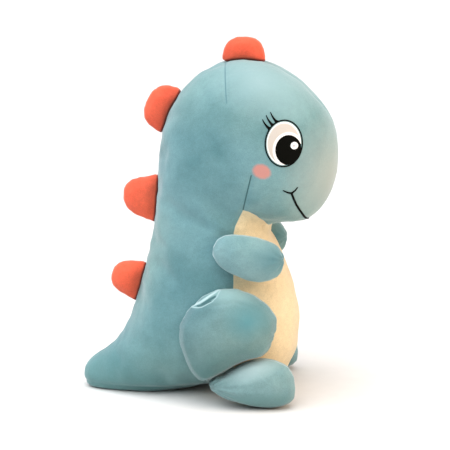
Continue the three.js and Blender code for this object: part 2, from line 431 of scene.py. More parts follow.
def plush(name, light, dark, sheen_tint, seam=SEAM_HIGHLIGHT):
    """Short-pile plush and its colour: nap in soft patches, tufts under a millimetre, and a painted
    highlight along the seams.
    """
    graph = Graph(name)
    tufts = graph.noise(TUFT_SCALE, 3, 0.7)
    colour = graph.ramp(graph.noise(NAP_SCALE, 3, 0.6), NAP_BAND, (dark, light))
    cast = graph.ramp(graph.noise(CAST_SCALE, 2), CAST_BAND, (COOL_CAST, WARM_CAST))
    colour = graph.mix(1.0, colour, cast, "MULTIPLY")
    for noise, shade in ((tufts, TUFT_SHADE), (graph.noise(MOTTLE_SCALE, 4, 0.75), MOTTLE_SHADE)):
        speckle = graph.ramp(noise, SPECKLE_BAND, (grey(shade), grey(1)))
        colour = graph.mix(1.0, colour, speckle, "MULTIPLY")
    # Painted highlight: near each seam the colour goes towards the sheen's tint.
    from_seam = graph.maths("ABSOLUTE", graph.parts(graph.layer("seams"))[0])
    seam_highlight = graph.ramp_mm(from_seam, HIGHLIGHT_FADE_MM, (grey(seam), grey(0)))
    colour = graph.mix(seam_highlight, colour, sheen_tint)
    pile = graph.bump(graph.noise(PILE_SCALE, 3, 0.6), **PILE_BUMP)
    graph.link(graph.bump(tufts, **TUFT_BUMP, below=pile), graph.shader.inputs["Normal"])
    graph.surface(PLUSH_SURFACE | {"Sheen Tint": (*sheen_tint, 1)})
    return coloured(graph, colour), colour


def coloured(graph, colour):
    """Gives the material the colour."""
    graph.link(colour, graph.shader.inputs["Base Color"])
    return graph


def side_view(graph, centre, angle):
    """Distances along and across a direction through a point of the side view, before the cloth bends."""
    forwards, up, _ = graph.parts(graph.layer("side_view"))
    x = graph.maths("SUBTRACT", forwards, centre[0])
    z = graph.maths("SUBTRACT", up, centre[1])
    cosine, sine = math.cos(angle), math.sin(angle)
    along = graph.maths("ADD", graph.maths("MULTIPLY", x, cosine), graph.maths("MULTIPLY", z, sine))
    aside = graph.maths("SUBTRACT", graph.maths("MULTIPLY", z, cosine), graph.maths("MULTIPLY", x, sine))
    return along, aside


RAGGED_SCALE = 350  # features to the metre in the edge of an airbrushed oval
RAGGED_SHARE = 0.16  # how far they move the edge, as a share of the oval's radius


def airbrushed(graph, colour, centre, radii, tilt, solid, tint):
    """Adds an oval of tint that is solid to a share of its radii, on both sides of the toy."""
    places = side_view(graph, centre, tilt)
    squares = [graph.maths("POWER", graph.maths("DIVIDE", v, r), 2.0) for v, r in zip(places, radii)]
    radius = graph.maths("SQRT", graph.maths("ADD", *squares))
    unevenness = graph.maths("MULTIPLY", graph.noise(RAGGED_SCALE, 2), RAGGED_SHARE)
    mask = graph.ramp(graph.maths("ADD", radius, unevenness), (solid, 1.0), FADE)
    return graph.mix(mask, colour, tint)


LINE_REACH = 2 * MM
LINE_BAND = (0.20, 0.50)  # shares of that reach from the line's middle over which it fades


def lined(graph, colour, a, b, tint):
    """Adds a thin painted line of the tint from a to b, in millimetres as seen from the side: painted shade
    along a dart, and painted highlights and shadow along a tuck.
    """
    angle = math.atan2(b[1] - a[1], b[0] - a[0])
    along, aside = side_view(graph, (a[0] * MM, a[1] * MM), angle)
    before = graph.maths("MULTIPLY", along, -1.0)
    beyond = graph.maths("SUBTRACT", along, math.dist(a, b) * MM)
    away = graph.maths("MAXIMUM", graph.maths("ABSOLUTE", aside), graph.maths("MAXIMUM", before, beyond))
    share = graph.maths("DIVIDE", away, LINE_REACH)
    mask = graph.ramp(share, LINE_BAND, FADE)
    return graph.mix(mask, colour, tint)


DARK_BASE_MM = (1.0, 3.2)  # heights above the seam at which the shade starts to fade and is gone


def shade_at_base(graph, colour, tint):
    """Paints shade on the piece where it is sewn into the seam below it."""
    height = graph.parts(graph.layer("seams"))[1]
    mask = graph.ramp_mm(height, DARK_BASE_MM, FADE)
    return graph.mix(mask, colour, tint)


THREADS_PER_METRE = 2200
THREAD_GAP = 0.82  # brightness between two threads
THREAD_BUMP = {"strength": 0.35, "distance": 0.2 * MM}
THREAD_SURFACE = {"Roughness": 0.6, "Specular IOR Level": 0.03}
BORDER_WHITE = (0.97, 0.96, 0.95)


def thread(name, colour):
    """Satin stitch and its shade: threads side by side along the piece's first coordinate."""
    graph = Graph(name)
    wave = graph.nodes.new("ShaderNodeTexWave")
    wave.wave_type = "BANDS"
    wave.bands_direction = "X"
    # A wave texture of scale 1 has 10 / pi bands to the metre.
    wave.inputs["Scale"].default_value = THREADS_PER_METRE * math.pi / 10
    wave.inputs["Distortion"].default_value = 0.6
    wave.inputs["Detail"].default_value = 1.0
    graph.link(graph.layer("stitches"), wave.inputs["Vector"])
    gap = tuple(value * THREAD_GAP for value in colour)
    shade = graph.ramp(wave.outputs["Fac"], (0.0, 1.0), (gap, colour))
    graph.link(graph.bump(wave.outputs["Fac"], **THREAD_BUMP), graph.shader.inputs["Normal"])
    graph.surface(THREAD_SURFACE)
    return coloured(graph, shade), shade


def edged_thread(name, colour, band):
    """Satin stitch with a whiter border that fades over a band, in millimetres from its edges."""
    graph, shade = thread(name, colour)
    from_rim, from_pupil, _ = graph.parts(graph.layer("edges"))
    nearest = graph.maths("MINIMUM", from_rim, graph.maths("ABSOLUTE", from_pupil))
    border = graph.ramp_mm(nearest, band, FADE)
    return coloured(graph, graph.mix(border, shade, BORDER_WHITE)).material


# Darts of the body, from and to, in millimetres as seen from the side.
CROWN_DART = ((20, 401), (25, 354))
JAW_DART = ((54, 272), (44, 230))
# Colours of the painted shade along the darts.
CROWN_DART_SHADE, JAW_DART_SHADE = (0.11, 0.23, 0.26), (0.04, 0.11, 0.12)

TEAL_LIGHT, TEAL_DARK = (0.238, 0.412, 0.438), (0.124, 0.262, 0.280)
TEAL_SHEEN = (0.85, 0.95, 1.0)
# How far the painted highlight along the limbs' seams goes towards the sheen's tint.
LIMB_SEAM_HIGHLIGHT = 0.33

# Patches of painted light and shade: centre and radii in metres as seen from the side, tilt in degrees, and
# colour.
PATCH_SOLID = 0.1  # share of a patch's radii that is solid; the rest fades out
BODY_LIGHT_AND_SHADE = [
    ((0.158, 0.262), (0.080, 0.095), 0, (0.35, 0.395, 0.365)),  # muzzle: painted warm highlight
    ((0.062, 0.378), (0.085, 0.050), -25, (0.25, 0.39, 0.41)),  # crown: painted highlight
    ((-0.100, -0.030), (0.200, 0.110), 0, (0.085, 0.205, 0.195)),  # tail: painted shade near the floor
]
BLUSH_OVAL = {"centre": (0.066, 0.277), "radii": (0.0135, 0.0105), "tilt": math.radians(-24)}
BLUSH_SOLID, BLUSH = 0.7, (0.54, 0.25, 0.22)


def patched(graph, colour, patches):
    """Adds soft patches of painted light and shade to the colour."""
    for centre, radii, tilt, tint in patches:
        colour = airbrushed(graph, colour, centre, radii, math.radians(tilt), PATCH_SOLID, tint)
    return colour


def body_plush():
    """Teal plush with painted highlights on the muzzle and crown, painted shade on the tail, pink cheeks and
    painted shade along the darts.
    """
    graph, colour = plush("teal_plush", TEAL_LIGHT, TEAL_DARK, TEAL_SHEEN)
    # Painted highlights on the muzzle and crown, and painted shade on the tail.
    colour = patched(graph, colour, BODY_LIGHT_AND_SHADE)
    colour = airbrushed(graph, colour, **BLUSH_OVAL, solid=BLUSH_SOLID, tint=BLUSH)
    # Painted shade along the crown and jaw darts.
    colour = lined(graph, colour, *CROWN_DART, CROWN_DART_SHADE)
    colour = lined(graph, colour, *JAW_DART, JAW_DART_SHADE)
    return coloured(graph, colour).material


def limb_plush(name, light_tone, patches, lines=()):
    """Teal plush scaled for each colour by a tone that paints light or shade over the whole limb, with
    patches of painted light and shade and painted lines along a tuck.
    """
    light, dark = (tuple(c * t for c, t in zip(colour, light_tone)) for colour in (TEAL_LIGHT, TEAL_DARK))
    graph, colour = plush(name, light, dark, TEAL_SHEEN, LIMB_SEAM_HIGHLIGHT)
    colour = patched(graph, colour, patches)
    for start, end, tint in lines:
        colour = lined(graph, colour, start, end, tint)
    return coloured(graph, colour).material


CORAL_LIGHT, CORAL_DARK = (0.98, 0.155, 0.080), (0.86, 0.105, 0.055)
CORAL_SHEEN = (1.0, 0.75, 0.6)
# Colour of the painted shade at the base of each spike.
CORAL_BASE_SHADE = (0.16, 0.018, 0.014)
CREAM_LIGHT, CREAM_DARK = (0.90, 0.72, 0.47), (0.82, 0.63, 0.385)
CREAM_SHEEN = (1.0, 0.95, 0.85)


def spike_plush():
    """Coral plush, with painted shade where the spike is sewn on."""
    graph, colour = plush("coral_plush", CORAL_LIGHT, CORAL_DARK, CORAL_SHEEN)
    return coloured(graph, shade_at_base(graph, colour, CORAL_BASE_SHADE)).material


TEAL = body_plush()
CREAM = plush("cream_plush", CREAM_LIGHT, CREAM_DARK, CREAM_SHEEN)[0].material
CORAL = spike_plush()
INK = thread("dark_thread", (0.003, 0.0034, 0.0026))[0].material
WHITE = edged_thread("white_thread", (0.65, 0.61, 0.56), band=(1.6, 2.4))
GLINT = edged_thread("glint_thread", (0.55, 0.53, 0.54), band=(2.0, 4.2))


def finished(piece, material):
    """The piece in its material."""
    piece.data.materials.clear()
    piece.data.materials.append(material)
    return piece


# -------------------------------- body

BODY_NODES = ["head_panel_right", "head_panel_left", "torso_panel_right", "torso_panel_left"]
BODY_NODES += ["belly_panel", "base_panel", "torso_fill", "head_fill"]

# The edge of the belly panel as seen from the side, in millimetres, up the side seam and then
# forwards under the chin.
BELLY_EDGE = [
    (BELLY_SEAM_X / MM, -20), (BELLY_SEAM_X / MM, 203), (35, 210), (44, 229), (50, 227), (59, 221.5),
    (67, 212.5), (73, 203.5), (90, 200),
]


def belly_margin(co):
    """How far inside the belly panel a point is, as seen from the side; negative outside."""
    flat = co[:, [0, 2]] / MM
    distances = [segment_distance(flat, a, b)[0] for a, b in zip(BELLY_EDGE, BELLY_EDGE[1:])]
    top = np.interp(flat[:, 0], *zip(*BELLY_EDGE[1:]))
    inside = (flat[:, 0] > BELLY_SEAM_X / MM) & (flat[:, 1] < top)
    return np.where(inside, 1, -1) * np.minimum.reduce(distances) * MM


def upper_seams(co, belly_extra=0.0):
    """Distance of each point from the middle seam or the belly panel's, with some extra for the belly's."""
    margin = belly_margin(co)
    return np.minimum(np.abs(margin) + belly_extra, np.where(margin < 0, np.abs(co[:, 1]), 1.0))


def body_seams(co):
    """Distance of each point from the nearest body seam."""
    return np.minimum(upper_seams(co), np.abs(co[:, 2] - BASE_SEAM_Z))


def make_body():
    """The head and torso as one stuffed and sewn bag."""
    body = soft_copy("body", BODY_NODES, voxel=5 * MM, rounds=40)
    held = body_seams(coordinates(body)) < BODY_HELD
    inflated(body, held, cap=4 * MM, growth=0.02)
    set_coordinates(body, smoothed(coordinates(body), edges(body), rounds=8))
    subdivided(body)
    sew_body(body)
    return body


# Folds of the body: from, to, depth and width, in millimetres as seen from the side.
BODY_CREASES = [
    (*CROWN_DART, 1.4, 2.6),
    (*JAW_DART, 2.0, 2.6),
    ((84, 250), (66, 234), 1.2, 5.0),
    ((66, 212), (50, 196), 1.5, 6.0),
]

BELLY_GROOVE = {"depth": 2.0 * MM, "width": 3 * MM}
BASE_GROOVE = {"depth": 1.5 * MM, "width": 3 * MM}
MIDDLE_GROOVE = {"depth": 1.8 * MM, "width": 3 * MM}
BELLY_PUCKERS = {"pitch": 11 * MM, "depth": 0.35 * MM, "reach": 9 * MM}
MIDDLE_PUCKERS = {"pitch": 12 * MM, "depth": 0.3 * MM, "reach": 9 * MM}
FLOOR_GAP = 0.4 * MM


def sew_body(body):
    """Draws the seams and darts into the body and stands its underside on the floor."""
    co = coordinates(body)
    margin = belly_margin(co)
    depth = groove(margin, **BELLY_GROOVE)
    depth = np.maximum(depth, groove(co[:, 2] - BASE_SEAM_Z, **BASE_GROOVE))
    depth = np.maximum(depth, np.where(margin < 0, groove(co[:, 1], **MIDDLE_GROOVE), 0))
    depth += puckers(co[:, 2], margin, **BELLY_PUCKERS)
    depth += np.where(margin < 0, puckers(co[:, 2] - co[:, 0], co[:, 1], **MIDDLE_PUCKERS), 0)
    depth += sum(crease(co, *fold) for fold in BODY_CREASES)
    co -= normals(body) * depth[:, None]
    co[:, 2] = np.maximum(co[:, 2], FLOOR_GAP)
    set_coordinates(body, co)


CUT_REACH = 6  # millimetres from a seam within which its cut divides the faces
CUT_SNAP = 0.05 * MM  # a vertex this near to a cut lies on it


def cut_along(work, a, b):
    """Adds an edge to the faces near the side-view segment a-b, in millimetres."""
    centres = np.array([face.calc_center_median() for face in work.faces])
    near = segment_distance(centres[:, [0, 2]] / MM, a, b)[0] < CUT_REACH
    faces = [face for face, wanted in zip(work.faces, near) if wanted]
    cut_plane(work, faces, (a[0] * MM, 0, a[1] * MM), (b[1] - a[1], 0, a[0] - b[0]))


def cut_plane(work, faces, place, normal):
    """Adds an edge to the faces where the plane crosses them."""
    corners = {v for f in faces for v in f.verts}
    sides = {e for f in faces for e in f.edges}
    geometry = [*corners, *sides, *faces]
    bmesh.ops.bisect_plane(work, geom=geometry, dist=CUT_SNAP, plane_co=place, plane_no=normal)


def cut_seams(body):
    """Gives the body an edge along each seam, so that it comes apart into clean panels."""
    work = bmesh.new()
    work.from_mesh(body.data)
    for a, b in zip(BELLY_EDGE, BELLY_EDGE[1:]):
        cut_along(work, a, b)
    cut_plane(work, list(work.faces), (0, 0, BASE_SEAM_Z), (0, 0, 1))
    cut_plane(work, list(work.faces), (0, 0, 0), (0, 1, 0))
    work.to_mesh(body.data)
    work.free()


def body_panel(body, name, wanted, material):
    """The faces of the body that are wanted, as one sewn panel."""
    work = bmesh.new()
    work.from_mesh(body.data)
    spare = [face for face, keep in zip(work.faces, wanted) if not keep]
    bmesh.ops.delete(work, geom=spare, context="FACES")
    mesh = bpy.data.meshes.new(name)
    work.to_mesh(mesh)
    work.free()
    mesh.shade_smooth()
    panel = placed(name, mesh)
    return finished(panel, material)


def neck_blend(piece):
    """Bakes the piece's place into its mesh; the skin stays where it is and does not turn with the head."""
    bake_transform(piece)


BELLY_SEAM_EXTRA = 1.4 * MM  # makes the painted highlight along the belly's seam a slight one


def make_body_panels(body):
    """Takes the sewn bag apart into its side, belly and base panels."""
    cut_seams(body)
    co = coordinates(body)
    add_layer(body, "side_view", co[:, [0, 2]])
    add_seam_layer(body, upper_seams(co, belly_extra=BELLY_SEAM_EXTRA))
    centres = np.array([face.center for face in body.data.polygons])
    base = centres[:, 2] < BASE_SEAM_Z
    belly = (belly_margin(centres) > 0) & ~base
    for side, sign in SIDES.items():
        wanted = (centres[:, 1] * sign > 0) & ~belly & ~base
        panel = body_panel(body, "body_skin_" + side, wanted, TEAL)
        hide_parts("head_panel_" + side, "torso_panel_" + side)
        neck_blend(panel)
        if side == "right":
            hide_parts("head_fill", "torso_fill")
    belly_skin = body_panel(body, "belly_skin", belly, CREAM)
    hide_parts("belly_panel")
    neck_blend(belly_skin)
    base_skin = body_panel(body, "base_skin", base, TEAL)
    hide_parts("base_panel")
    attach(base_skin, "torso")


# -------------------------------- limbs

LIMB_PARTS = ["outer_panel", "inner_panel", "fill"]
ARM_YAW = math.radians(10)  # how far the arms point inwards


GATHER_RADIUS = 3 * MM  # the folds rise from nothing over it


def radial_folds(co, centre, ridges, depth, reach):
    """Folds that fan out from a gathered point, given in metres as seen from the side."""
    away = co[:, [0, 2]] - np.array(centre)
    distance = np.linalg.norm(away, axis=1)
    wave = np.sin(ridges * np.arctan2(away[:, 1], away[:, 0]))
    rise = np.clip(distance / GATHER_RADIUS, 0, 1)
    return depth * wave * rise * np.exp(-distance / reach)


def across_seam(co, hinge, sign, yaw):
    """Distance of each point from the plane of a limb's seam, which holds its hinge."""
    return (co[:, 1] - hinge.y) * math.cos(yaw) + sign * (co[:, 0] - hinge.x) * math.sin(yaw)


def arm_folds(co):
    """The arm is gathered at its tip and a little at its root."""
    root, tip = co[co[:, 0].argmin()], co[co[:, 0].argmax()]
    at_tip = radial_folds(co, tip[[0, 2]], ridges=11, depth=1.6 * MM, reach=10 * MM)
    at_root = radial_folds(co, root[[0, 2]], ridges=9, depth=0.4 * MM, reach=12 * MM)
    return at_tip + at_root


# Folds of the thigh: from, to, depth and width, in millimetres as seen from the side.
THIGH_CREASES = [
    ((-12, 121), (9, 131), 3.0, 2.4),
    ((7, 130), (18, 138), 2.2, 2.0),
    ((-8, 121), (38, 130), 0.8, 2.4),
    ((36, 130), (62, 121), 0.6, 2.4),
]


def thigh_folds(co):
    """A tuck along the top of the thigh, and a pinch below the knee."""
    folds = sum(crease(co, *fold) for fold in THIGH_CREASES)
    knee = co[co[:, 0].argmax()]
    pinch = (knee[0] - 2 * MM, knee[2] - 18 * MM)
    return folds + radial_folds(co, pinch, ridges=8, depth=0.9 * MM, reach=8 * MM)


def foot_folds(co):
    """The foot is gathered at its heel."""
    heel = co[co[:, 0].argmin()]
    return radial_folds(co, heel[[0, 2]], ridges=22, depth=1.8 * MM, reach=32 * MM)


LIMBS = {
    "foot": {"joint": "foot_turn", "parent": "leg", "body": "foot", "yaw": 0, "folds": foot_folds},
    "thigh": {"joint": "leg_splay", "parent": "torso", "body": "leg", "yaw": 0, "folds": thigh_folds},
    "arm": {"joint": "arm_swing", "parent": "torso", "body": "arm", "yaw": ARM_YAW, "folds": arm_folds},
}
# Patches of painted light and shade, given as for the body: painted highlights on the tops of the foot and
# thigh, and painted shade low on the foot and thigh, under the thigh's top and at the arm's tip.
FOOT_LIGHT_AND_SHADE = [
    ((0.058, 0.052), (0.050, 0.018), 18, (0.36, 0.50, 0.52)),
    ((0.060, 0.010), (0.070, 0.018), 0, (0.12, 0.25, 0.25)),
]
THIGH_LIGHT_AND_SHADE = [
    ((0.025, 0.142), (0.070, 0.024), 0, (0.24, 0.40, 0.41)),
    ((0.052, 0.108), (0.034, 0.028), 0, (0.085, 0.235, 0.265)),
    ((0.020, 0.040), (0.080, 0.045), 20, (0.060, 0.150, 0.150)),
]
ARM_LIGHT_AND_SHADE = [((0.080, 0.176), (0.036, 0.030), 0, (0.085, 0.21, 0.245))]
# The tuck along the top of the thigh: a painted highlight on its rim and inner edge, and a painted shadow in
# the fold between.
TUCK_RIM_HIGHLIGHT, TUCK_EDGE_HIGHLIGHT, TUCK_SHADOW = (0.42, 0.58, 0.60), (0.32, 0.47, 0.49), (0.05, 0.13, 0.14)
THIGH_TUCK_LIGHT_AND_SHADE = [
    ((-18, 119), (4, 132), TUCK_RIM_HIGHLIGHT), ((4, 132), (18, 141), TUCK_RIM_HIGHLIGHT),
    ((-18, 119), (-2, 123), TUCK_EDGE_HIGHLIGHT), ((-2, 123), (11, 130), TUCK_EDGE_HIGHLIGHT), ((11, 130), (19, 140), TUCK_EDGE_HIGHLIGHT),
    ((-8, 123), (8, 130.5), TUCK_SHADOW), ((-3, 126), (13, 135), TUCK_SHADOW),
]
# Tones of the limbs: painted light on the arms, painted shade on the thighs and a little on the feet.
LIMB_PLUSH = {
    "foot": limb_plush("foot_plush", (0.94, 0.94, 1.00), FOOT_LIGHT_AND_SHADE),
    "thigh": limb_plush("thigh_plush", (0.78, 0.79, 0.80), THIGH_LIGHT_AND_SHADE, THIGH_TUCK_LIGHT_AND_SHADE),
    "arm": limb_plush("arm_plush", (1.54, 1.28, 1.24), ARM_LIGHT_AND_SHADE),
}
LIMB_GROOVE = {"depth": 1.5 * MM, "width": 1.8 * MM}
LIMB_PUCKERS = {"pitch": 12 * MM, "depth": 0.15 * MM, "reach": 7 * MM}
LIMB_CLEARANCE = 0.6 * MM


def stuffed_limb(name, nodes, side, plan):
    """The limb blown up, with its seam and folds drawn in."""
    hinge = HINGES[f"{plan['joint']}_{side}"]
    piece = soft_copy(f"{name}_{side}", nodes, voxel=3.5 * MM, rounds=22)
    offset = across_seam(coordinates(piece), hinge, SIDES[side], plan["yaw"])
    inflated(piece, np.abs(offset) < LIMB_HELD, cap=3 * MM)
    set_coordinates(piece, smoothed(coordinates(piece), edges(piece), rounds=2))
    subdivided(piece)
    co = coordinates(piece)
    offset = across_seam(co, hinge, SIDES[side], plan["yaw"])
    depth = groove(offset, **LIMB_GROOVE)
    depth += puckers(co[:, 0] + co[:, 2], offset, **LIMB_PUCKERS)
    depth += plan["folds"](co)
    set_coordinates(piece, co - normals(piece) * depth[:, None])
    add_seam_layer(piece, offset)
    add_layer(piece, "side_view", co[:, [0, 2]])
    return piece


def make_limb(name, side, obstacles):
    """One stuffed limb, seamed round its middle and pressed against its neighbours."""
    plan = LIMBS[name]
    nodes = [f"{name}_{part}_{side}" for part in LIMB_PARTS]
    piece = stuffed_limb(name, nodes, side, plan)
    for obstacle in obstacles:
        kept_outside(piece, obstacle, LIMB_CLEARANCE)
    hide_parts(*nodes)
    finished(piece, LIMB_PLUSH[name])
    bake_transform(piece)
    return piece


def make_limbs(skin):
    """The feet, the thighs that lie on them, and the arms."""
    for side in SIDES:
        foot = make_limb("foot", side, [skin])
        make_limb("thigh", side, [skin, tree_of(foot)])
        make_limb("arm", side, [skin])


# -------------------------------- spikes

SEWN_REACH = 14 * MM  # height over which a spike's base spreads onto the back
SEWN_DEPTH = 1.2 * MM  # how far its raw edge lies inside the back seam
SEWN_SPREAD = 0.28  # how much longer its base is than the rounded pillow's


def sewn_down(piece, skin, hinge, axis):
    """Draws a spike's lower edge, spread to its full length, into its seam; gives the heights above it."""
    co = coordinates(piece)
    hits = [skin.find_nearest(Vector(point)) for point in co]
    heights = np.array([(Vector(point) - hit[0]).dot(hit[1]) for point, hit in zip(co, hits)])
    away = np.array([hit[1] for hit in hits])
    share = np.clip(1 - (heights - heights.min()) / SEWN_REACH, 0, 1)[:, None]
    along = ((co - np.array(hinge)) @ np.array(axis))[:, None]
    drop = (heights.min() + SEWN_DEPTH) * share**1.5
    set_coordinates(piece, co - away * drop + np.array(axis) * along * SEWN_SPREAD * share**2)
    return heights - drop[:, 0]


SPIKE_GROOVE = {"depth": 1.2 * MM, "width": 1.8 * MM}
SPIKE_PUCKERS = {"pitch": 11 * MM, "depth": 0.12 * MM, "reach": 5 * MM}
SPIKE_BEND = 16 * MM  # height above the hinge, along the back's normal, of a point that nothing uses


def make_spike(name, skin):
    """One stuffed spike, seamed round its outline and sewn down on the back."""
    nodes = [f"{name}_spike_{part}" for part in ("panel_right", "panel_left", "fill")]
    piece = soft_copy(name + "_spike", nodes, voxel=2.5 * MM, rounds=6)
    inflated(piece, np.abs(coordinates(piece)[:, 1]) < SPIKE_HELD, cap=2.5 * MM)
    subdivided(piece)
    co = coordinates(piece)
    depth = groove(co[:, 1], **SPIKE_GROOVE)
    depth += puckers(co[:, 0] + co[:, 2], co[:, 1], **SPIKE_PUCKERS)
    set_coordinates(piece, co - normals(piece) * depth[:, None])
    hinge = HINGES[name + "_spike_flop"]
    add_seam_layer(piece, co[:, 1], sewn_down(piece, skin, hinge, AXES[name + "_spike_flop"]))
    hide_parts(*nodes)
    finished(piece, CORAL)
    top = hinge + skin.find_nearest(hinge)[1] * SPIKE_BEND
    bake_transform(piece)


# -------------------------------- embroidery

BEYOND_SKIN = 0.3  # metres from the middle


def on_skin(skin, x, z, sign):
    """The point of the skin and its normal at a side-view place in metres."""
    start = Vector((x, sign * BEYOND_SKIN, z))
    place, normal, _, _ = skin.ray_cast(start, Vector((0, -sign, 0)))
    return place, normal


class Oval:
    """An upright ellipse as seen from the side, in metres."""

    def __init__(self, box, margin=0.0):
        low, high = box
        self.x, self.z = (low.x + high.x) / 2, (low.z + high.z) / 2
        self.rx, self.rz = (high.x - low.x) / 2 + margin, (high.z - low.z) / 2 + margin

    def point(self, angle, share=1.0):
        """The point at an angle and a share of the way out to the rim."""
        return self.x + self.rx * share * math.cos(angle), self.z + self.rz * share * math.sin(angle)

    def share(self, x, z):
        """How far out a point lies, as a share of the way to the rim."""
        return math.hypot((x - self.x) / self.rx, (z - self.z) / self.rz)

    def depth(self, x, z):
        """About how far inside the oval a point lies; negative outside."""
        return (1 - self.share(x, z)) * min(self.rx, self.rz)

    def held(self, x, z):
        """The point, drawn towards the middle of the oval until it is inside."""
        pull = 1 / max(self.share(x, z), 1)
        return self.x + (x - self.x) * pull, self.z + (z - self.z) * pull


RINGS, SPOKES = 14, 56  # of the mesh of an embroidered oval
DOME_POWER = 8  # the higher, the flatter the middle and the steeper the rim
EDGE_SINK = 0.3 * MM  # how far the rim lies under the skin


def patch_rise(ring, lift, height):
    """Height of a ring of an embroidered oval above the skin."""
    if ring == RINGS:
        return -EDGE_SINK
    return lift + height * (1 - (ring / RINGS) ** DOME_POWER)


def patch(name, skin, sign, oval, limit, lift, height):
    """A domed oval of embroidery laid on the skin, kept inside the limiting oval."""
    vertices = []
    for ring in range(RINGS + 1):
        for spoke in range(SPOKES):
            x, z = limit.held(*oval.point(2 * math.pi * spoke / SPOKES, ring / RINGS))
            place, normal = on_skin(skin, x, z, sign)
            vertices.append(place + normal * patch_rise(ring, lift, height))
    faces = []
    for ring in range(RINGS):
        for spoke in range(SPOKES):
            a, b = ring * SPOKES + spoke, ring * SPOKES + (spoke + 1) % SPOKES
            quad = [a, b, b + SPOKES, a + SPOKES]
            faces.append(quad if sign > 0 else quad[::-1])
    piece = new_piece(name, vertices, faces)
    # The stitches run straight up and down, one beside the other from back to front.
    add_layer(piece, "stitches", coordinates(piece)[:, [0, 2]])
    return piece


def edge_distances(piece, outer, inner):
    """Stores how far each point lies inside the outer oval and outside the inner one, in millimetres."""
    depths = [(outer.depth(x, z), -inner.depth(x, z)) for x, _, z in coordinates(piece)]
    add_layer(piece, "edges", np.array(depths) / MM)


RIB_POINTS = 7  # across a raised line
RIB_SINK = 0.6 * MM  # how far its edges lie under the skin
RIB_ROUND = 2 * MM  # stitch coordinate across it


def rib(name, path, widths, height, closed=False):
    """A raised satin-stitched line along (place, normal) pairs, as wide as widths says."""
    places = [p for p, _ in path]
    count = len(path)
    vertices, along, travelled = [], [], 0.0
    for i, (place, normal) in enumerate(path):
        before = places[i - 1] if closed or i else places[0]
        after = places[(i + 1) % count] if closed or i < count - 1 else places[-1]
        across = (after - before).cross(normal).normalized()
        travelled += (place - before).length if i else 0.0
        for k in range(RIB_POINTS):
            angle = math.pi * k / (RIB_POINTS - 1)
            sink = RIB_SINK if k in (0, RIB_POINTS - 1) else 0.0
            offset = across * (math.cos(angle) * widths[i] / 2)
            vertices.append(place + offset + normal * (height * math.sin(angle) - sink))
            along.append((travelled, k / RIB_POINTS * RIB_ROUND))
    faces = []
    for i in range(count if closed else count - 1):
        for k in range(RIB_POINTS - 1):
            a, b = i * RIB_POINTS + k, ((i + 1) % count) * RIB_POINTS + k
            faces.append([a, a + 1, b + 1, b])
    piece = new_piece(name, vertices, faces)
    add_layer(piece, "stitches", along)
    return piece


OUTLINE_WIDTH = 1.7 * MM
OUTLINE_POINTS = 96
LINE_HEIGHT = 0.9 * MM  # of the eye's outline and the mouth
# How high each oval of the eye lies on the skin, and how high it is domed.
WHITE_STITCH = {"lift": 0.2 * MM, "height": 0.4 * MM}
PUPIL_STITCH = {"lift": 0.7 * MM, "height": 0.5 * MM}
GLINT_STITCH = {"lift": 1.2 * MM, "height": 0.4 * MM}


def pupil_shape(side):
    """The pupil widened forwards from its rear edge, for the eye's outline to cut off."""
    oval = Oval(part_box("pupil_" + side))
    oval.rx = max(oval.rx, PUPIL_RADIUS)
    oval.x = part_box("pupil_" + side)[0].x + oval.rx
    return oval


def make_outline(side, sign, skin, rim):
    """The dark line round the white of the eye."""
    angles = [2 * math.pi * k / OUTLINE_POINTS for k in range(OUTLINE_POINTS)]
    ring = [on_skin(skin, *rim.point(angle), sign) for angle in angles]
    widths = [OUTLINE_WIDTH] * OUTLINE_POINTS
    return rib("eye_outline_skin_" + side, ring, widths, LINE_HEIGHT, closed=True)


def make_eye(side, sign, skin):
    """The white, pupil, highlight and outline of one eye, and its lashes."""
    eye, pupil_oval = Oval(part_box("eye_white_" + side)), pupil_shape(side)
    glint_oval = Oval(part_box("eye_highlight_" + side))
    rim = Oval(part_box("eye_white_" + side), OUTLINE_WIDTH / 2)
    white = patch("eye_white_skin_" + side, skin, sign, eye, eye, **WHITE_STITCH)
    edge_distances(white, eye, pupil_oval)
    pupil = patch("pupil_skin_" + side, skin, sign, pupil_oval, eye, **PUPIL_STITCH)
    glint = patch("eye_highlight_skin_" + side, skin, sign, glint_oval, glint_oval, **GLINT_STITCH)
    edge_distances(glint, glint_oval, glint_oval)
    outline = make_outline(side, sign, skin, rim)
    for piece, node, material, slot in (
        (white, "eye_white_", WHITE, "white_thread"),
        (pupil, "pupil_", INK, "dark_thread"),
        (glint, "eye_highlight_", GLINT, "white_thread"),
        (outline, "eye_outline_", INK, "dark_thread"),
    ):
        finished(piece, material)
        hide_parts(node + side)
        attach(piece, "head")
    for i, (place, direction) in enumerate(LASHES):
        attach(make_lash(f"eyelash_{side}_{i}", skin, sign, rim, place, direction), "head")


LASHES = [(140, 135), (127, 131), (112, 131)]  # place round the eye and direction, in degrees
LASH_LENGTH = 13.5 * MM
LASH_HEIGHT = 0.8 * MM
LASH_CURL = 7  # degrees that it leans back at its root, and turns up at its tip
LASH_STEPS = 14
LASH_TIP, LASH_TAPER, LASH_FLARE = 0.9 * MM, 2.7 * MM, 1.8 * MM
FLARE_SHARE = 0.08


def lash_width(share):
    """Width of a lash at a share of its length: an even taper, with a short flare at the root."""
    return LASH_TIP + LASH_TAPER * (1 - share) + LASH_FLARE * math.exp(-share / FLARE_SHARE)


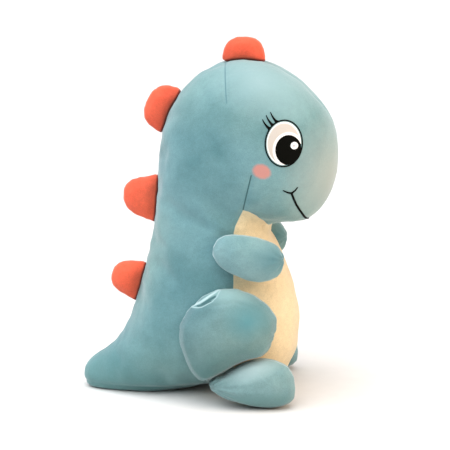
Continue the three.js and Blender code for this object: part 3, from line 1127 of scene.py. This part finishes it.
def make_lash(name, skin, sign, rim, place, direction):
    """A lash that leaves the eye's outline at a place and in a direction, both in degrees."""
    x, z = rim.point(math.radians(place))
    path, widths = [], []
    for k in range(LASH_STEPS + 1):
        share = k / LASH_STEPS
        turn = math.radians(direction + LASH_CURL - 2 * LASH_CURL * share)
        reach = LASH_LENGTH * share
        path.append(on_skin(skin, x + reach * math.cos(turn), z + reach * math.sin(turn), sign))
        widths.append(lash_width(share))
    return finished(rib(name, path, widths, LASH_HEIGHT), INK)


# The mouth as seen from the side, in metres: its corner, the smile down to the chin, and the marks.
MOUTH_CORNER = (0.100, 0.250)
SMILE = [MOUTH_CORNER, (0.1025, 0.2425), (0.1055, 0.2350), (0.1095, 0.2270), (0.1140, 0.2185)]
SMILE_MIDDLE = (0.1195, 0.2095)
CHEEK_MARKS = [
    [MOUTH_CORNER, (0.0955, 0.2510), (0.0900, 0.2540)],
    [MOUTH_CORNER, (0.1040, 0.2530), (0.1070, 0.2570)],
]
MOUTH_WIDTH = 2.8 * MM
MARK_TIP = 1.2 * MM
LINE_STEPS = 4  # from each point of the smile or a mark to the next
MUZZLE_STEPS = 12  # from the end of the smile to the middle of the muzzle


def between(a, b, share):
    """The point at a share of the way from a to b in the side view."""
    return a[0] + (b[0] - a[0]) * share, a[1] + (b[1] - a[1]) * share


def fine_line(points):
    """The points of a broken line, with more points between each two."""
    line = []
    for a, b in zip(points, points[1:]):
        line += [between(a, b, k / LINE_STEPS) for k in range(LINE_STEPS)]
    return line + [points[-1]]


def smile_path(skin):
    """Points along the smile, from the right cheek under the muzzle to the left."""
    cheek = [on_skin(skin, x, z, -1) for x, z in fine_line(SMILE)]
    side_y = cheek[-1][0].y
    middle = []
    for share in (k / MUZZLE_STEPS for k in range(1, MUZZLE_STEPS)):
        x, z = between(SMILE[-1], SMILE_MIDDLE, share)
        middle.append(skin.find_nearest(Vector((x, side_y * (1 - share), z)))[:2])
    half = cheek + middle
    mirrored = [(Vector((p.x, -p.y, p.z)), Vector((n.x, -n.y, n.z))) for p, n in reversed(half)]
    return half + [skin.find_nearest(Vector((SMILE_MIDDLE[0], 0, SMILE_MIDDLE[1])))[:2]] + mirrored


def make_mouth(skin):
    """The smile crosses the muzzle from cheek to cheek, with two small marks at each end."""
    path = smile_path(skin)
    smile = rib("mouth_skin", path, [MOUTH_WIDTH] * len(path), LINE_HEIGHT)
    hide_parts("mouth")
    pieces = [smile]
    for side, sign in SIDES.items():
        for i, mark in enumerate(CHEEK_MARKS):
            path = [on_skin(skin, x, z, sign) for x, z in fine_line(mark)]
            widths = list(np.linspace(MOUTH_WIDTH, MARK_TIP, len(path)))
            pieces.append(rib(f"cheek_mark_{side}_{i}", path, widths, LINE_HEIGHT))
    for piece in pieces:
        finished(piece, INK)
        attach(piece, "head")


# -------------------------------- studio

CAMERA_TARGET = (0.019, 0, 0.200)
CAMERA_LOOK = {"azimuth": 3.5, "elevation": 10, "distance": 2.0}
SENSOR_MM, LENS_MM = 36, 133.3
OVERHEAD = {"direction": (-0.28, -0.34, 1.0), "strength": 4.1, "spread": 80}
WARM = {"place": (1.3, -0.4, 0.65), "target": (0.08, 0, 0.3), "size": 0.8, "power": 13}
WARM_COLOUR = (1.0, 0.70, 0.48)
SKY_LOW, SKY_STRENGTH = 0.24, 0.62
FLOOR_HALF = 20
PAPER_SCALE = 40  # features to the metre
PAPER_BAND, PAPER_SHADES = (0.3, 0.7), (grey(0.70), grey(0.72))
PAPER_SURFACE = {"Roughness": 0.95, "Specular IOR Level": 0.1}


def make_camera(azimuth, elevation, distance):
    """A long-lens camera at a distance from its target, with its angles in degrees."""
    data = bpy.data.cameras.new("camera")
    data.sensor_width = SENSOR_MM
    data.lens = LENS_MM
    camera = placed("camera", data)
    a, e = math.radians(azimuth), math.radians(elevation)
    back = Vector((math.sin(a) * math.cos(e), -math.cos(a) * math.cos(e), math.sin(e)))
    camera.location = Vector(CAMERA_TARGET) + back * distance
    camera.rotation_euler = (-back).to_track_quat("-Z", "Y").to_euler()
    bpy.context.scene.camera = camera


def overhead_light(direction, strength, spread):
    """Even, soft-edged light from one direction, as from a large ceiling panel."""
    data = bpy.data.lights.new("overhead", "SUN")
    data.angle = math.radians(spread)
    data.energy = strength
    placed("overhead", data).rotation_euler = Vector(direction).to_track_quat("Z", "Y").to_euler()


def warm_light(place, target, size, power):
    """A warm panel in front of the face."""
    data = bpy.data.lights.new("warm", "AREA")
    data.size = size
    data.energy = power
    data.color = WARM_COLOUR
    light = placed("warm", data)
    light.location = place
    light.rotation_euler = (Vector(target) - Vector(place)).to_track_quat("-Z", "Y").to_euler()


def make_floor():
    """White paper under the toy."""
    signs = ((-1, -1), (1, -1), (1, 1), (-1, 1))
    corners = [(x * FLOOR_HALF, y * FLOOR_HALF, 0) for x, y in signs]
    floor = new_piece("floor", corners, [[0, 1, 2, 3]])
    paper = Graph("paper")
    paper.surface(PAPER_SURFACE)
    coloured(paper, paper.ramp(paper.noise(PAPER_SCALE, 3), PAPER_BAND, PAPER_SHADES))
    floor.data.materials.append(paper.material)


def make_sky():
    """White studio light, brightest overhead."""
    world = bpy.data.worlds.new("world")
    world.use_nodes = True
    tree = world.node_tree
    place = tree.nodes.new("ShaderNodeTexCoord").outputs["Generated"]
    parts = tree.nodes.new("ShaderNodeSeparateXYZ")
    tree.links.new(place, parts.inputs["Vector"])
    ramp = tree.nodes.new("ShaderNodeValToRGB")
    for element, value in zip(ramp.color_ramp.elements, (SKY_LOW, 1)):
        element.color = (*grey(value), 1)
    tree.links.new(parts.outputs["Z"], ramp.inputs["Fac"])
    tree.links.new(ramp.outputs["Color"], tree.nodes["Background"].inputs["Color"])
    tree.nodes["Background"].inputs["Strength"].default_value = SKY_STRENGTH
    bpy.context.scene.world = world


def make_studio():
    make_camera(**CAMERA_LOOK)
    make_floor()
    overhead_light(**OVERHEAD)
    warm_light(**WARM)
    make_sky()
    bpy.context.scene.view_settings.view_transform = "Standard"


# -------------------------------- assembly

make_studio()
body = make_body()
skin = tree_of(body)
make_body_panels(body)
bpy.data.objects.remove(body)
make_limbs(skin)
for spike_name, spike_parent in SPIKES.items():
    make_spike(spike_name, skin)
for side_name, side_sign in SIDES.items():
    make_eye(side_name, side_sign, skin)
make_mouth(skin)
